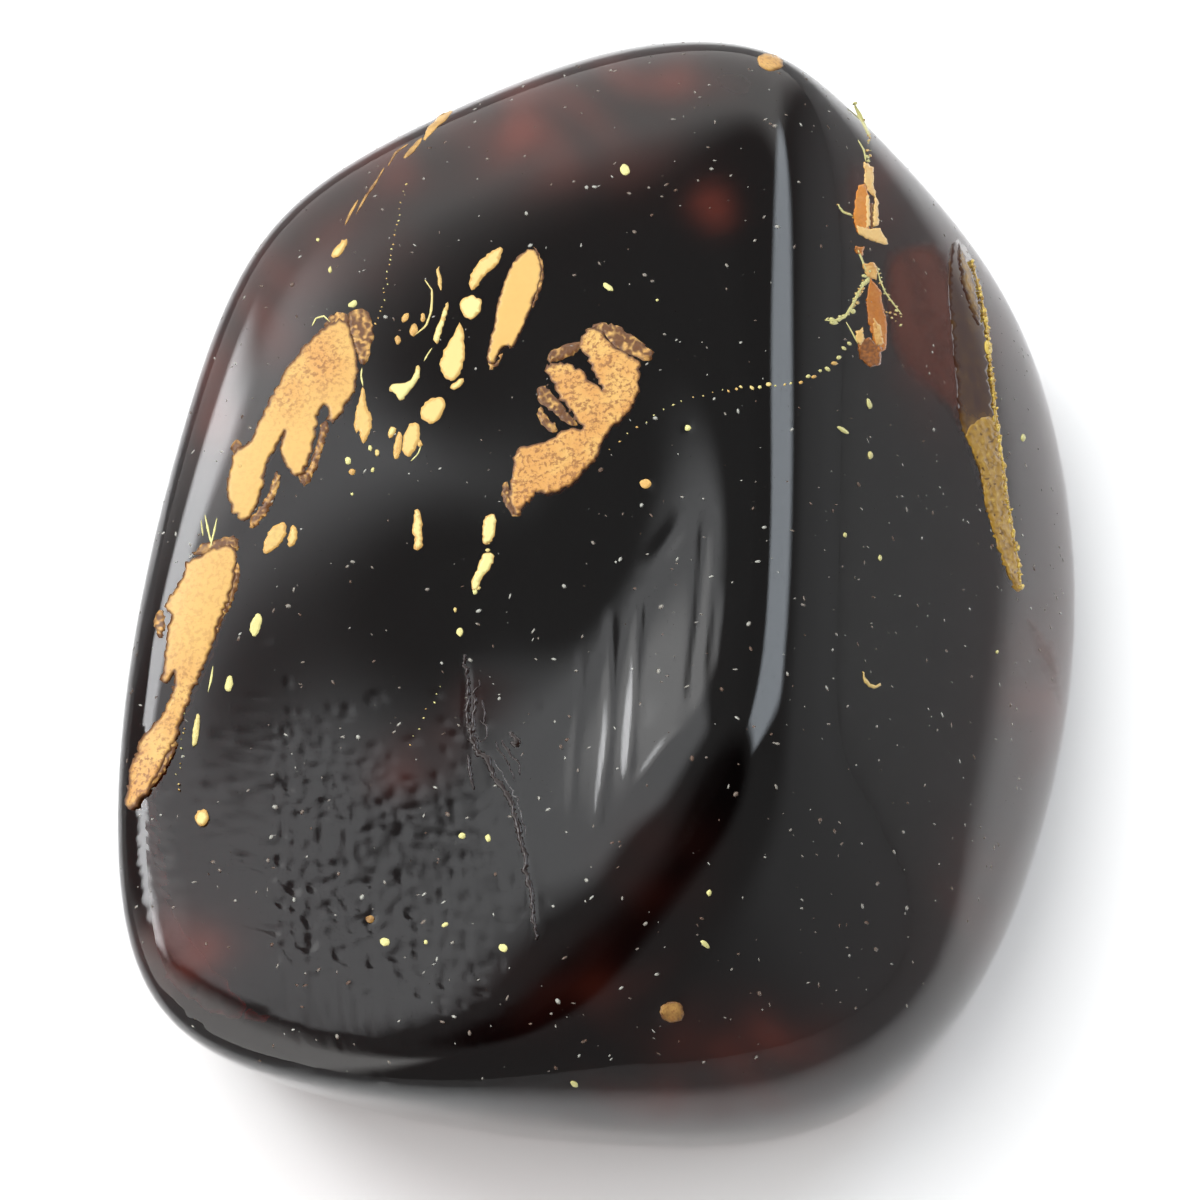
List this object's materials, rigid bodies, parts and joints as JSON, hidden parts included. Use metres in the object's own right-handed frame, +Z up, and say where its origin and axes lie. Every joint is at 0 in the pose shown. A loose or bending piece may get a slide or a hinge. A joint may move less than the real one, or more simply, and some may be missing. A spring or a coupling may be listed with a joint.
{
  "type": "polished amber nugget",
  "caption": "Palm-sized free-form nugget of polished dark amber with cream and golden inclusions cut flush by the polish; rests on its flat base as a display or study piece.",
  "frame": {"origin": "on the flat base, below the middle of the bounding box", "axes": "+Z up from the base, +Y along the longer side towards the high end of the ridge, +X towards the steep flank beside the ridge"},
  "size_m": [0.0698, 0.0906, 0.0341],
  "materials": {
    "dark_amber": "high polish, very dark red-brown, see-through where it is thin",
    "cream_crust": "cream to tan opaque mineral-filled inclusion, satin where the polish cut it",
    "golden_vein": "golden-brown healed crack, glossy, glittering at its edge",
    "golden_flake": "pale gold flake, satin",
    "orange_flake": "orange-brown flake, satin"
  },
  "bodies": {
    "root": {"amber": "dark_amber", "cream_inclusion_forked": "cream_crust", "cream_inclusion_edge": "cream_crust", "cream_inclusion_notched": "cream_crust", "cream_inclusion_bar": "cream_crust", "golden_vein": "golden_vein", "golden_flake": "golden_flake", "orange_flake": "orange_flake"}
  },
  "joints": []
}
